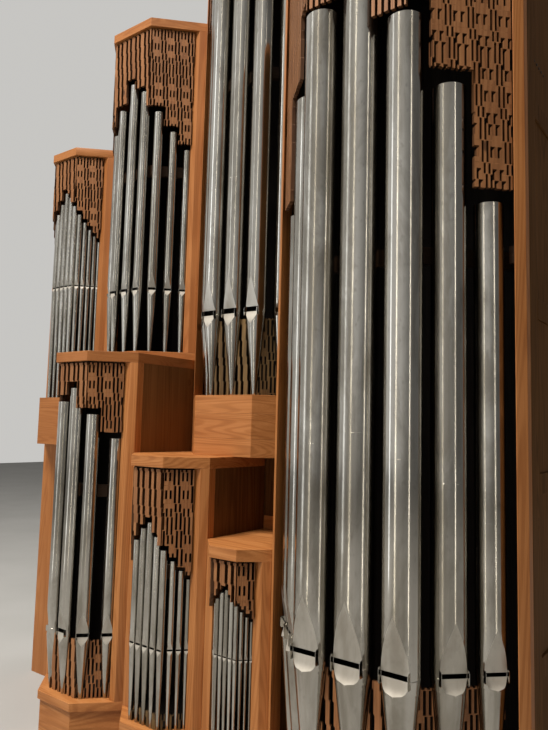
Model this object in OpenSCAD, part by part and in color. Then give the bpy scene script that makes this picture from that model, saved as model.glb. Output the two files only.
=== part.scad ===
// Pipe organ: a wooden case of seven three-sided pipe towers in two tiers.
// The front faces -Y. X = 0 is the middle of the case, Z = 0 is the floor.

/* [Tower widths] */
// Width of the smallest tower of the upper tier, at the left end
upper_left_w = 570; // [480:5:620]
// Width of the middle tower of the upper tier
upper_middle_w = 765; // [680:5:840]
// Width of the lowest-pitched tower of the lower tier, at the left
lower_left_w = 600; // [540:5:660]
// Width of the middle tower of the lower tier
lower_middle_w = 500; // [450:5:560]
// Width of the smallest tower of the lower tier
lower_right_w = 355; // [320:5:400]
// Width of the tall pedal tower at the right end
pedal_w = 1015; // [940:5:1100]

/* [Case] */
// Distance from the lower front plane back to the upper front plane
step_back = 405; // [360:5:450]
// Depth of the main case behind the upper front plane
case_depth = 760; // [600:10:1000]
// Thickness of the case walls
wall_t = 22; // [16:1:30]
// Thickness of the back boards
back_t = 18; // [12:1:24]
// Thickness of the tower roofs
roof_t = 50; // [40:1:60]
// Side of a square corner post
post_s = 68; // [60:1:76]
// Width of a post's slanted front face
post_face = 40; // [34:1:44]
// Clearance between a post and the pipe beside it
post_gap = 3; // [2:0.5:6]
// Seam between neighbouring towers
seam = 1; // [0.6:0.2:1.6]
// Clearance in the joints between boards
joint = 0.3; // [0.2:0.1:0.5]
// Width of the stiles of the framed sides
stile_w = 90; // [70:2:110]
// Height of the rails of the framed sides
rail_h = 70; // [60:2:90]
// Height of the lowest middle rail of the framed sides
rail_low = 795; // [740:5:840]
// Distance from one middle rail to the next
rail_pitch = 600; // [560:5:640]
// Height of the highest middle rail of the pedal side
rail_high = 2715; // [2650:5:2800]
// Thickness of a panel
panel_t = 8; // [6:1:12]
// Height of the low board at the back of the lower right roof
recess_board_h = 65; // [50:5:80]

/* [Wind chests] */
// Height of the upper chests, which stand on the roof of the lower middle tower
chest_h = 288; // [260:2:300]
// Height of the plinth under the lower tier
plinth_h = 242; // [220:2:260]
// Thickness of a toe board
toe_t = 40; // [30:1:50]
// Setback of the plinth behind the toe boards
plinth_setback = 12; // [6:1:20]

/* [Longest pipe of each tower: height of its foot, up to the mouth] */
// Upper left tower
upper_left_foot = 698; // [650:1:720]
// Upper middle tower
upper_middle_foot = 345; // [300:1:380]
// Upper right tower
upper_right_foot = 397; // [350:1:430]
// Lower left tower
lower_left_foot = 290; // [260:1:310]
// Lower middle tower
lower_middle_foot = 331; // [300:1:350]
// Lower right tower
lower_right_foot = 370; // [330:1:390]
// Pedal tower
pedal_foot = 546; // [500:1:580]

/* [Longest pipe of each tower: speaking length] */
// Upper left tower
upper_left_pipe = 611; // [560:1:620]
// Upper middle tower
upper_middle_pipe = 1218; // [1150:1:1230]
// Upper right tower
upper_right_pipe = 2185; // [2080:5:2200]
// Lower left tower
lower_left_pipe = 1195; // [1150:1:1200]
// Lower middle tower
lower_middle_pipe = 543; // [500:1:550]
// Lower right tower
lower_right_pipe = 271; // [250:1:275]
// Pedal tower
pedal_pipe = 2453; // [2380:1:2470]

/* [Longest pipe of each tower: diameter] */
// Upper left tower
upper_left_dia = 40; // [36:1:42]
// Upper middle tower
upper_middle_dia = 62; // [56:1:66]
// Upper right tower
upper_right_dia = 106; // [98:1:110]
// Lower left tower
lower_left_dia = 78; // [70:1:82]
// Lower middle tower
lower_middle_dia = 39; // [35:1:41]
// Lower right tower
lower_right_dia = 23; // [20:1:24]
// Pedal tower
pedal_dia = 140; // [128:1:146]

/* [Longest pipe of each tower: room between its top and the roof] */
// Upper left tower
upper_left_room = 223; // [180:1:260]
// Upper middle tower
upper_middle_room = 297; // [240:1:340]
// Upper right tower
upper_right_room = 265; // [220:1:320]
// Lower left tower
lower_left_room = 133; // [110:1:170]
// Lower middle tower
lower_middle_room = 249; // [200:1:280]
// Lower right tower
lower_right_room = 127; // [100:1:150]
// Pedal tower
pedal_room = 289; // [230:1:330]

/* [Pipe rows: distance of the pipes behind the front of the bay] */
// Upper left tower
upper_left_set = 45; // [40:1:60]
// Upper middle tower
upper_middle_set = 50; // [45:1:65]
// Upper right tower
upper_right_set = 66; // [62:1:80]
// Lower left tower
lower_left_set = 55; // [50:1:65]
// Lower middle tower
lower_middle_set = 45; // [40:1:60]
// Lower right tower
lower_right_set = 40; // [36:1:50]
// Pedal tower
pedal_set = 80; // [76:1:92]

/* [Pipe details] */
// Wall thickness of a pipe
pipe_t = 1.5; // [1.2:0.1:2]
// Radius of the toe of a pipe, as a share of its diameter
toe_share = 0.07; // [0.05:0.01:0.1]
// Least radius of a toe
toe_least = 3; // [2.5:0.5:4]
// Width of a mouth, as a share of the pipe's diameter
mouth_share = 0.7; // [0.6:0.02:0.76]
// Height of a mouth, as a share of its width
cut_up = 0.25; // [0.2:0.01:0.32]
// Height of the flat upper lip, as a share of the mouth's width
upper_lip = 1.9; // [1.5:0.1:2.4]
// Height of the flat lower lip, as a share of the mouth's width
lower_lip = 0.75; // [0.6:0.05:0.9]
// Diameter from which a mouth has ears
ears_from = 44; // [42:1:60]
// Height of the rail behind a tower's pipes, as a share of the longest one
rail_at = 0.55; // [0.4:0.05:0.6]
// Height of that rail
stay_h = 60; // [40:2:70]
// Thickness of that rail
stay_d = 24; // [18:1:30]
// Clearance between that rail and the pipes
stay_gap = 0.3; // [0.2:0.1:2]

/* [Pipe shades] */
// Thickness of a shade
shade_t = 12; // [8:1:14]
// Setback of the shades behind the front of the case
shade_set = 12; // [8:1:16]
// Clearance between a shade and the top of the pipe behind it
shade_clear = 34; // [20:1:50]
// Depth of the plain band at a shade's top
shade_band = 26; // [20:1:40]
// Distance between two columns of slots
slot_pitch = 38; // [34:1:46]
// Width of a slot
slot_w = 10; // [7:1:14]
// Sideways step half-way down a slot
slot_step = 7; // [4:1:9]
// Length of a slot
slot_l = 84; // [70:2:96]
// Wood between two slots of a column
slot_bridge = 34; // [26:2:50]
// Thickness of the boards between the feet of the large pipes
foot_board_t = 10; // [8:1:14]
// Clearance between those boards and the feet
foot_gap = 2; // [1.5:0.5:4]
// Height of those boards, as a share of the feet
foot_board_share = 0.9; // [0.7:0.05:0.95]

/* [Hidden] */
$fn = 48;

wood = "peru";
dark_wood = "saddlebrown";
tin = "silver";

// Plan of the whole case
upper_right_w = lower_middle_w + lower_right_w;
total_w = upper_left_w + upper_middle_w + upper_right_w + pedal_w;
x_left = -total_w / 2;
x_upper_middle = x_left + upper_left_w;
x_upper_right = x_upper_middle + upper_middle_w;
x_pedal = x_upper_right + upper_right_w;
x_lower_left = x_upper_right - lower_left_w;
x_lower_middle = x_upper_right;
x_lower_right = x_lower_middle + lower_middle_w;
x_right = total_w / 2;

// A bay's three facets are equal and turned by 45 degrees
turn = 45;
function facet(w) = w / (1 + 2 * cos(turn));
function bay_out(w) = facet(w) * sin(turn);
// Shortening of half a facet for each unit of inset
mitre = tan(turn / 2);

total_d = bay_out(pedal_w) + step_back + case_depth;
y_lower = -total_d / 2 + bay_out(pedal_w);
y_upper = y_lower + step_back;
y_back = total_d / 2;

// Back of a post, behind the front plane of its tower
post_back = post_s - post_face * sin(turn);
toe_z = plinth_h + toe_t;

// One semitone shortens a pipe by this ratio
semitone = pow(2, -1 / 12);
// A pipe's width falls more slowly than its length
width_power = 0.7;

// Towers: left end, front plane, width, floor of the pipes, foot of the longest pipe,
// the longest pipe, its diameter, setback of the pipe row, room above the longest pipe,
// semitones of the pipes left of the middle one, and right of it
function width(t) = t[2];
function floor_z(t) = t[3];
function foot_l(t) = t[4];
function longest(t) = t[5];
function widest(t) = t[6];
function row_set(t) = t[7];
function room(t) = t[8];
function left_notes(t) = t[9];
function right_notes(t) = t[10];
function mouth_z(t) = floor_z(t) + foot_l(t);
// Underside and top of a tower's roof: its height follows from its longest pipe
function roof_z(t) = mouth_z(t) + longest(t) + room(t);
function top_z(t) = roof_z(t) + roof_t;

lower_left = [
    x_lower_left, y_lower, lower_left_w, toe_z, lower_left_foot, lower_left_pipe,
    lower_left_dia, lower_left_set, lower_left_room, [1, 3], [2, 4]];
lower_middle = [
    x_lower_middle, y_lower, lower_middle_w, toe_z, lower_middle_foot, lower_middle_pipe,
    lower_middle_dia, lower_middle_set, lower_middle_room,
    [for (n = [1:2:9]) n], [for (n = [2:2:10]) n]];
lower_right = [
    x_lower_right, y_lower, lower_right_w, toe_z, lower_right_foot, lower_right_pipe,
    lower_right_dia, lower_right_set, lower_right_room,
    [for (n = [1:2:9]) n], [for (n = [2:2:10]) n]];
pedal = [
    x_pedal, y_lower, pedal_w, toe_z, pedal_foot, pedal_pipe,
    pedal_dia, pedal_set, pedal_room, [1, 3, 7], [2, 4, 8]];
// The upper chests stand on the roof of the lower middle tower
chest_z = top_z(lower_middle);
chest_top = chest_z + chest_h;
upper_left = [
    x_left, y_upper, upper_left_w, chest_top, upper_left_foot, upper_left_pipe,
    upper_left_dia, upper_left_set, upper_left_room,
    [for (n = [2:2:14]) n], [for (n = [1:2:13]) n]];
upper_middle = [
    x_upper_middle, y_upper, upper_middle_w, top_z(lower_left) + toe_t, upper_middle_foot,
    upper_middle_pipe, upper_middle_dia, upper_middle_set, upper_middle_room,
    [for (n = [2:2:8]) n], [for (n = [1:2:7]) n]];
upper_right = [
    x_upper_right, y_upper, upper_right_w, chest_top, upper_right_foot, upper_right_pipe,
    upper_right_dia, upper_right_set, upper_right_room,
    [for (n = [1:2:5]) n], [for (n = [2:2:6]) n]];
UPPER = [upper_left, upper_middle, upper_right];
LOWER = [lower_left, lower_middle, lower_right];
TOWERS = concat(UPPER, LOWER, [pedal]);

module at_tower(t, z = 0) translate([t[0], t[1], z]) children();

// Bay outline in plan, from the left end round the front to the right end. Its ends are
// cut off at the distances left and right from the tower's ends.
function bay(w, inset, left, right) =
    let (p = bay_out(w), k = p + inset * mitre, y = inset / cos(turn))
    [[left, y - left], [k, -p + inset], [w - k, -p + inset], [w - right, y - right]];

// Plan of a tower: its bay with a straight part of the given depth behind it
module bay_plan(w, depth)
    polygon(concat([[0, depth]], bay(w, 0, 0, 0), [[w, depth]]));

// One of the three straight boards that follow a bay, 0 at the left to 2 at the right
module bay_board(w, i, inset, band, left, right) {
    a = bay(w, inset, left, right);
    b = bay(w, inset + band, left, right);
    u = (a[i + 1] - a[i]) / norm(a[i + 1] - a[i]) * joint / 2;
    s = i == 0 ? [0, 1] : i == 1 ? [1, 1] : [1, 0];
    polygon([a[i] + u * s[0], a[i + 1] - u * s[1], b[i + 1] - u * s[1], b[i] + u * s[0]]);
}

// Length and diameter of a tower's pipe, by its semitones above the longest one
function pipe_len(t, n) = longest(t) * pow(semitone, n);
function pipe_dia(t, n) = widest(t) * pow(semitone, n * width_power);
function toe_r(d) = max(toe_least, d * toe_share);

function sum(v, last) = last < 0 ? 0 : v[last] + sum(v, last - 1);

// Line that the pipes stand on: half of its front, and one of its sides
function row_half(t) = facet(width(t)) / 2 - row_set(t) * mitre;
function row_side(t) = facet(width(t)) - row_set(t) * mitre;

// Distance of the last pipe from the middle: it stands clear of the post
function row_end(t, r) =
    row_half(t) + row_side(t)
    - max((post_s + r + post_gap) / cos(turn) - row_set(t), post_face + r + post_gap);

// Gap that spreads one half of a tower's pipes evenly up to its post
function row_gap(t, notes) =
    let (d = [for (n = notes) pipe_dia(t, n)], last = len(notes) - 1)
    (row_end(t, d[last] / 2) - pipe_dia(t, 0) / 2 - sum(d, last - 1) - d[last] / 2) / (last + 1);

// Distance of pipe i of one half from the middle, along the row
function row_at(t, notes, i) =
    let (d = [for (n = notes) pipe_dia(t, n)])
    pipe_dia(t, 0) / 2 + sum(d, i - 1) + d[i] / 2 + (i + 1) * row_gap(t, notes);

// Place of a point of the row, [x, y, turn], with s measured from the middle
function row_place(t, s) =
    let (e = abs(s) - row_half(t), m = width(t) / 2, y = row_set(t) - bay_out(width(t)))
    e <= widest(t) * 0.15 ? [m + s, y, 0]
    : [m + sign(s) * (row_half(t) + e * cos(turn)), y + e * sin(turn), sign(s) * turn];

// Every pipe of a tower from left to right: [semitones, distance along the row]
function pipe_list(t) =
    let (l = left_notes(t), r = right_notes(t))
    concat([for (i = [len(l) - 1:-1:0]) [l[i], -row_at(t, l, i)]], [[0, 0]],
           [for (i = [0:len(r) - 1]) [r[i], row_at(t, r, i)]]);

// Conical foot, the languid that closes it, and a tube that is open at the top
module pipe_body(foot, d, length) {
    r = d / 2;
    tip = toe_r(d);
    sill = foot + 2 * pipe_t;
    rotate_extrude()
        polygon([[tip - pipe_t, 0], [tip, 0], [r, foot], [r, foot + length],
                 [r - pipe_t, foot + length], [r - pipe_t, sill], [0, sill], [0, foot],
                 [r - 1.2 * pipe_t, foot]]);
}

// One flue pipe, its mouth facing -Y. A large pipe has flat lips pressed in above and below
// its mouth, and ears beside it.
module flue_pipe(foot, d, length) {
    r = d / 2;
    mouth_w = d * mouth_share;
    mouth_h = mouth_w * cut_up;
    sill = foot + 2 * pipe_t;
    flat = r * cos(asin(mouth_share));
    up = mouth_w * upper_lip;
    down = mouth_w * lower_lip;
    r_down = toe_r(d) + (r - toe_r(d)) * (foot - down) / foot;
    tilt_up = atan((r - flat) / up);
    tilt_down = atan((r_down - flat) / (down + sill - foot));
    large = d > ears_from;
    difference() {
        pipe_body(foot, d, length);
        translate([-r, -flat - r, sill]) cube([d, r, mouth_h]);
        if (large) {
            translate([0, -flat, sill + mouth_h]) rotate([tilt_up, 0, 0])
                translate([-r, -r, 0]) cube([d, r, 2 * up]);
            translate([0, -flat, sill]) rotate([-tilt_down, 0, 0])
                translate([-r, -r, -2 * down]) cube([d, r, 2 * down]);
        }
    }
    if (large) {
        intersection() {
            translate([0, 0, sill + mouth_h]) cylinder(r = r, h = up * 1.2);
            translate([0, -flat, sill + mouth_h]) rotate([tilt_up, 0, 0])
                translate([-r, 0, -up]) cube([d, pipe_t, 3 * up]);
        }
        intersection() {
            cylinder(r1 = toe_r(d), r2 = r, h = foot);
            translate([0, -flat, sill]) rotate([-tilt_down, 0, 0])
                translate([-r, 0, -2 * down]) cube([d, pipe_t, 3 * down]);
        }
        for (s = [-1, 1])
            translate([s * mouth_w / 2 - pipe_t / 2, -flat - d * 0.1, sill - mouth_h * 0.6])
                cube([pipe_t, d * 0.1 + pipe_t, mouth_h * 2.2]);
    }
}

module tower_pipes(t)
    color(tin) at_tower(t, floor_z(t))
        for (p = pipe_list(t)) {
            place = row_place(t, p[1]);
            translate([place[0], place[1], 0]) rotate(place[2])
                flue_pipe(foot_l(t), pipe_dia(t, p[0]), pipe_len(t, p[0]));
        }

// Pipes of one half of a tower, the middle one first: distances along the row and lengths
function half_arcs(t, notes) = concat([0], [for (i = [0:len(notes) - 1]) row_at(t, notes, i)]);
function half_drops(t, notes) =
    [for (n = concat([0], notes)) room(t) - shade_clear + longest(t) - pipe_len(t, n)];

// Which pipe of that half a distance along the row belongs to
function step_at(arcs, s, j = 0) =
    j >= len(arcs) - 1 || s < (arcs[j] + arcs[j + 1]) / 2 ? j : step_at(arcs, s, j + 1);
function drop_at(t, notes, s) = half_drops(t, notes)[step_at(half_arcs(t, notes), s)];

// Stepped outline of a shade from x0 to x1, hanging down from y = 0. The distance along
// the row is x + off.
module shade_outline(t, notes, x0, x1, off) {
    arcs = half_arcs(t, notes);
    drops = half_drops(t, notes);
    last = len(arcs) - 1;
    for (j = [0:last]) {
        a = j == 0 ? x0 : max(x0, (arcs[j - 1] + arcs[j]) / 2 - off);
        b = j == last ? x1 : min(x1, (arcs[j] + arcs[j + 1]) / 2 - off);
        if (b - a > joint) translate([a, -drops[j]]) square([b - a, drops[j]]);
    }
}

// Slot with a sideways step half-way down
module slot() {
    h = slot_l / 2;
    polygon([[0, 0], [slot_w, 0], [slot_w, -h], [slot_w + slot_step, -h],
             [slot_w + slot_step, -2 * h], [slot_step, -2 * h], [slot_step, -h], [0, -h]]);
}

// Staggered slots of a shade, left out where they would come near its lower edge
module shade_slots(t, notes, x0, x1, off) {
    row = slot_l + slot_bridge;
    wide = slot_w + slot_step;
    n = floor((x1 - x0 - slot_step - slot_w) / slot_pitch);
    first = x0 + (x1 - x0 - (n - 1) * slot_pitch - wide) / 2;
    deepest = max(half_drops(t, notes));
    for (i = [0:n - 1], k = [0:ceil(deepest / row)]) {
        x = first + i * slot_pitch;
        z = shade_band + (i % 2) * row / 2 + k * row;
        room_here = min(drop_at(t, notes, x + off - wide / 2),
                        drop_at(t, notes, x + off + wide * 1.5));
        if (z + slot_l + slot_bridge / 3 < room_here) translate([x, -z]) slot();
    }
}

// Openwork shades under the roof: one board over each facet, cut with staggered slots,
// its lower edge stepped above the pipes
module tower_shades(t) {
    w = width(t);
    corner = facet(w) / 2 - shade_set * mitre;
    cut = shade_t * mitre + joint;
    end = facet(w) - shade_set * mitre - (shade_set + shade_t + post_face) - joint;
    off = row_half(t) - (row_set(t) - shade_set) * mitre;
    color(wood) at_tower(t, roof_z(t)) {
        translate([w / 2, shade_set - bay_out(w), 0]) rotate([90, 0, 0])
            translate([0, 0, -shade_t]) linear_extrude(shade_t) difference() {
                union() {
                    shade_outline(t, right_notes(t), 0, corner - cut, 0);
                    mirror([1, 0]) shade_outline(t, left_notes(t), 0, corner - cut, 0);
                }
                shade_slots(t, right_notes(t), slot_pitch / 4, corner - cut, 0);
                mirror([1, 0])
                    shade_slots(t, left_notes(t), slot_pitch / 4, corner - cut, 0);
            }
        for (m = [0, 1]) translate([m * w, 0, 0]) mirror([m, 0, 0])
            translate([w / 2 + corner, shade_set - bay_out(w), 0]) rotate(turn)
                rotate([90, 0, 0]) translate([0, 0, -shade_t]) linear_extrude(shade_t) {
                    notes = m == 0 ? right_notes(t) : left_notes(t);
                    difference() {
                        shade_outline(t, notes, cut, end, off);
                        shade_slots(t, notes, cut, end, off);
                    }
                }
    }
}

// Upright boards that fill the gaps between the conical feet of the large pipes
module foot_boards(t) {
    pipes = pipe_list(t);
    foot = foot_l(t);
    high = foot * foot_board_share;
    color(wood) at_tower(t, floor_z(t))
        for (i = [0:len(pipes) - 2]) {
            p = row_place(t, pipes[i][1]);
            q = row_place(t, pipes[i + 1][1]);
            gap = norm([q[0] - p[0], q[1] - p[1]]);
            toes = [for (k = [i, i + 1]) toe_r(pipe_dia(t, pipes[k][0])) + foot_gap];
            tops = [for (k = [i, i + 1]) let (d = pipe_dia(t, pipes[k][0]))
                    toe_r(d) + (d / 2 - toe_r(d)) * foot_board_share + foot_gap];
            translate([p[0], p[1], 0]) rotate(atan2(q[1] - p[1], q[0] - p[0]))
                rotate([90, 0, 0]) translate([0, 0, -foot_board_t / 2])
                    linear_extrude(foot_board_t)
                        polygon([[toes[0], 0], [gap - toes[1], 0],
                                 [gap - tops[1], high], [tops[0], high]]);
        }
}

// Corner post: square, with its outer front corner cut back to the facet
module post(t, right) {
    w = width(t);
    c = post_face * sin(turn);
    x = seam / 2;
    color(wood) at_tower(t, floor_z(t))
        translate([right ? w : 0, 0, 0]) mirror([right ? 1 : 0, 0, 0])
            linear_extrude(roof_z(t) - floor_z(t))
                polygon([[x, -x], [c, -c], [post_s, -c], [post_s, post_back], [x, post_back]]);
}

module tower_posts(t) { post(t, false); post(t, true); }

module roof(t, depth)
    color(wood) at_tower(t, roof_z(t)) linear_extrude(roof_t) bay_plan(width(t), depth);

module toe_board(t, depth)
    color(wood) at_tower(t, floor_z(t) - toe_t) linear_extrude(toe_t) bay_plan(width(t), depth);

module chest(t, depth)
    color(wood) at_tower(t, chest_z) linear_extrude(chest_h) bay_plan(width(t), depth);

// Upright wall in a plane x = const, its outer face at x, turned inwards by side
module side_wall(x, y0, y1, z0, z1, side)
    translate([side > 0 ? x : x - wall_t, y0, z0]) cube([wall_t, y1 - y0, z1 - z0]);

// Plinth under the lower tier and the pedal tower: boards that follow the bays
module plinth() color(wood) {
    fronts = [lower_left, lower_middle, lower_right, pedal];
    for (i = [0:3], k = [0:2]) {
        left = i == 0 ? plinth_setback : seam / 2;
        right = i == 3 ? plinth_setback : seam / 2;
        at_tower(fronts[i]) linear_extrude(plinth_h)
            bay_board(width(fronts[i]), k, plinth_setback, wall_t, left, right);
    }
    y0 = y_lower + (plinth_setback + wall_t) / cos(turn) - plinth_setback + joint;
    side_wall(x_lower_left + plinth_setback, y0, y_upper, 0, plinth_h, 1);
    side_wall(x_right - plinth_setback, y0, y_upper, 0, plinth_h, -1);
}

// Framed side of the case: a base board, stiles, rails and the panels between them.
// front is the front edge of the frame over the toe board, zs the undersides of the rails.
function panel_w(front) = (y_back - back_t - front - 3 * stile_w) / 2;
function stile_y(front, i) = front + i * (panel_w(front) + stile_w);

module side_frame(x, front, base, zs) color(wood) translate([x, 0, 0]) {
    top = zs[len(zs) - 1] + rail_h;
    translate([0, base, 0]) cube([wall_t, y_back - back_t - base, toe_z - joint]);
    for (i = [0:2]) translate([0, stile_y(front, i), toe_z]) cube([wall_t, stile_w, top - toe_z]);
    for (i = [0, 1], z = zs)
        translate([0, stile_y(front, i) + stile_w + joint, z])
            cube([wall_t, panel_w(front) - 2 * joint, rail_h]);
}

module side_panels(x, front, zs) color(wood)
    for (i = [0, 1], k = [0:len(zs) - 2])
        translate([x + (wall_t - panel_t) / 2, stile_y(front, i) + stile_w + joint,
                   zs[k] + rail_h + joint])
            cube([panel_t, panel_w(front) - 2 * joint, zs[k + 1] - zs[k] - rail_h - 2 * joint]);

pedal_rails = [toe_z, rail_low, rail_low + rail_pitch, rail_low + 2 * rail_pitch, rail_high,
               roof_z(pedal) - rail_h];
left_rails = [toe_z, rail_low, rail_low + rail_pitch, rail_low + 2 * rail_pitch,
              rail_low + 3 * rail_pitch, roof_z(upper_left) - rail_h];
left_front = y_upper + post_back;
pedal_front = y_lower + post_back;
module left_side_frame() {
    side_frame(x_left, left_front, y_upper + wall_t, left_rails);
    color(wood) translate([x_left, y_upper + wall_t, toe_z])
        cube([wall_t, post_back - wall_t - joint, chest_z - toe_z]);
}
module left_side_panels() side_panels(x_left, left_front, left_rails);
module pedal_right_frame() side_frame(x_right - wall_t, pedal_front, y_upper, pedal_rails);
module pedal_right_panels() side_panels(x_right - wall_t, pedal_front, pedal_rails);

// Front of the main case beside the lower left tower, up to the upper middle tower
module left_front_panel() color(wood) translate([x_left, y_upper, 0]) {
    cube([x_lower_left - x_left, wall_t, chest_z]);
    translate([upper_left_w, 0, chest_z + joint])
        cube([x_lower_left - x_upper_middle, wall_t, top_z(lower_left) - chest_z - joint]);
}

// Back of the case: one board behind each upper tower and one behind the pedal tower
module back_wall() color(dark_wood)
    for (b = [[x_left, upper_left], [x_upper_middle, upper_middle],
              [x_upper_right, upper_right], [x_pedal, pedal]])
        translate([b[0], y_back - back_t, 0])
            cube([width(b[1]) - (b[0] == x_pedal ? 0 : joint), back_t, roof_z(b[1])]);

// Walls of the upper towers where they stand clear of their neighbours' roofs
module upper_side_walls() {
    y1 = y_back - back_t;
    color(wood) side_wall(x_upper_middle, y_upper + post_back, y1,
                          top_z(upper_left), roof_z(upper_middle), 1);
    color(wood) side_wall(x_upper_right, y_upper + post_back, y1,
                          top_z(upper_middle), roof_z(upper_right), 1);
    color(wood) side_wall(x_pedal, y_upper + post_back, y1, top_z(pedal),
                          roof_z(upper_right), -1);
}

module lower_left_side_walls() color(dark_wood) {
    z1 = roof_z(lower_left);
    side_wall(x_lower_left, y_lower + post_back, y_upper, toe_z, z1, 1);
    side_wall(x_lower_middle, y_lower + post_back, y_upper, toe_z, z1, -1);
}

module lower_middle_side_wall() color(dark_wood)
    side_wall(x_lower_right, y_lower + post_back, y_upper, toe_z, roof_z(lower_middle), -1);

module recess_board()
    color(wood) translate([x_lower_right + seam / 2, y_upper, top_z(lower_right)])
        cube([lower_right_w - seam, wall_t, recess_board_h]);

module pedal_left_wall() color(dark_wood)
    side_wall(x_pedal, y_lower + post_back, y_upper, toe_z, roof_z(pedal), 1);

// Rail behind a tower's pipes, which keeps them upright: three bars along the bay, and a
// block from each outer bar to the back of the post
function stay_inset(t) =
    max(row_set(t) + widest(t) / 2 + stay_gap, (post_back + post_s + seam) * cos(turn));
module pipe_rail(t) {
    w = width(t);
    inset = stay_inset(t);
    near = post_s - stay_d;
    reach = inset / cos(turn) - joint;
    color(dark_wood) at_tower(t, mouth_z(t) + longest(t) * rail_at) linear_extrude(stay_h) {
        for (k = [0:2]) bay_board(w, k, inset, stay_d, near, near);
        for (m = [0, 1]) translate([m * w, 0]) mirror([m, 0])
            polygon([[near, post_back], [post_s, post_back], [post_s, reach - post_s],
                     [near, reach - near]]);
    }
}

plinth();
left_side_frame();
left_side_panels();
left_front_panel();
back_wall();
upper_side_walls();
lower_left_side_walls();
lower_middle_side_wall();
recess_board();
pedal_left_wall();
pedal_right_frame();
pedal_right_panels();
for (t = TOWERS) pipe_rail(t);  // pipe_rails
for (t = UPPER) tower_posts(t);  // upper_posts
for (t = LOWER) tower_posts(t);  // lower_posts
tower_posts(pedal);  // pedal_posts
chest(upper_left, post_back);  // upper_left_chest
toe_board(upper_middle, post_back);  // upper_middle_toe_board
chest(upper_right, post_back);  // upper_right_chest
toe_board(lower_left, step_back);  // lower_left_toe_board
toe_board(lower_middle, step_back);  // lower_middle_toe_board
toe_board(lower_right, step_back);  // lower_right_toe_board
toe_board(pedal, step_back);  // pedal_toe_board
roof(upper_left, case_depth);  // upper_left_roof
roof(upper_middle, case_depth);  // upper_middle_roof
roof(upper_right, case_depth);  // upper_right_roof
roof(lower_left, step_back);  // lower_left_roof
roof(lower_middle, step_back);  // lower_middle_roof
roof(lower_right, step_back);  // lower_right_roof
roof(pedal, step_back + case_depth);  // pedal_roof
tower_pipes(upper_left);  // upper_left_pipes
tower_pipes(upper_middle);  // upper_middle_pipes
tower_pipes(upper_right);  // upper_right_pipes
tower_pipes(lower_left);  // lower_left_pipes
tower_pipes(lower_middle);  // lower_middle_pipes
tower_pipes(lower_right);  // lower_right_pipes
tower_pipes(pedal);  // pedal_pipes
tower_shades(upper_left);  // upper_left_shades
tower_shades(upper_middle);  // upper_middle_shades
union() {  // upper_right_shades
    tower_shades(upper_right);
    foot_boards(upper_right);
}
union() {  // lower_left_shades
    tower_shades(lower_left);
    foot_boards(lower_left);
}
tower_shades(lower_middle);  // lower_middle_shades
tower_shades(lower_right);  // lower_right_shades
union() {  // pedal_shades
    tower_shades(pedal);
    foot_boards(pedal);
}
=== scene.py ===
import math
import random

import bmesh
import bpy
from mathutils import Matrix, Vector


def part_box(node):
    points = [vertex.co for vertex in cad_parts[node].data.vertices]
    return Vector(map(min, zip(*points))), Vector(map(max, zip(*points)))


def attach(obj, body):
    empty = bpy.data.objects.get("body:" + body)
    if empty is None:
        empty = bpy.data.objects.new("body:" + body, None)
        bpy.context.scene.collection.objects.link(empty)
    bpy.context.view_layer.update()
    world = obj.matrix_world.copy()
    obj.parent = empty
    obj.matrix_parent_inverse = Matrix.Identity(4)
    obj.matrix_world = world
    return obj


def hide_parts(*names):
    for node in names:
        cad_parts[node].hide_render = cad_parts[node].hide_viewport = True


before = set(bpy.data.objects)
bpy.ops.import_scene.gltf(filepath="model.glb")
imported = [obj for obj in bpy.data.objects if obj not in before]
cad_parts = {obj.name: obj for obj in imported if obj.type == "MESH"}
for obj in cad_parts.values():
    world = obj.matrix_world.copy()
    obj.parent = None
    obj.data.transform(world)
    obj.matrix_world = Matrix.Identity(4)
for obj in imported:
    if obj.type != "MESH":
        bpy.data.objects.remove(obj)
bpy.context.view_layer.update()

# A millimetre, and a distance past every piece, in metres
MM = 0.001
FAR = 9.0

# The sides of a tower turn this much from its front, and the boards meet in a mitre
TURN = math.radians(45)
MITRE = math.tan(TURN / 2)

# A pipe's length falls by this share at each semitone, and its diameter by a power of it
SEMITONE = 2 ** (-1 / 12)
WIDTH_POWER = 0.7

# Camera, in the frame's metres and in the photograph's pixels
EYE = Vector((2.194, -2.625, 1.603))
EYE_YAW = math.radians(36.50)
EYE_PITCH = math.radians(5.34)
EYE_ROLL = math.radians(-1.45)
FOCAL_PX = 650.8
PHOTO_H = 730
SENSOR = 36.0


# Node trees

class Value:
    """A socket of a node tree, with Python's operators."""

    def __init__(self, tree, socket):
        self.tree = tree
        self.socket = socket

    def maths(self, operation, *others):
        values = dict(enumerate([self, *others]))
        return self.tree.add("ShaderNodeMath", {"operation": operation}, values)

    def __add__(self, other):
        return self.maths("ADD", other)

    def __sub__(self, other):
        return self.maths("SUBTRACT", other)

    def __rsub__(self, other):
        return self.tree.add("ShaderNodeMath", {"operation": "SUBTRACT"}, {0: other, 1: self})

    def __mul__(self, other):
        return self.maths("MULTIPLY", other)

    __radd__ = __add__
    __rmul__ = __mul__

    def between(self, low, high, to_low=0.0, to_high=1.0):
        return self.tree.add("ShaderNodeMapRange", {"interpolation_type": "SMOOTHSTEP"},
                             {"Value": self, "From Min": low, "From Max": high,
                              "To Min": to_low, "To Max": to_high})


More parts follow.
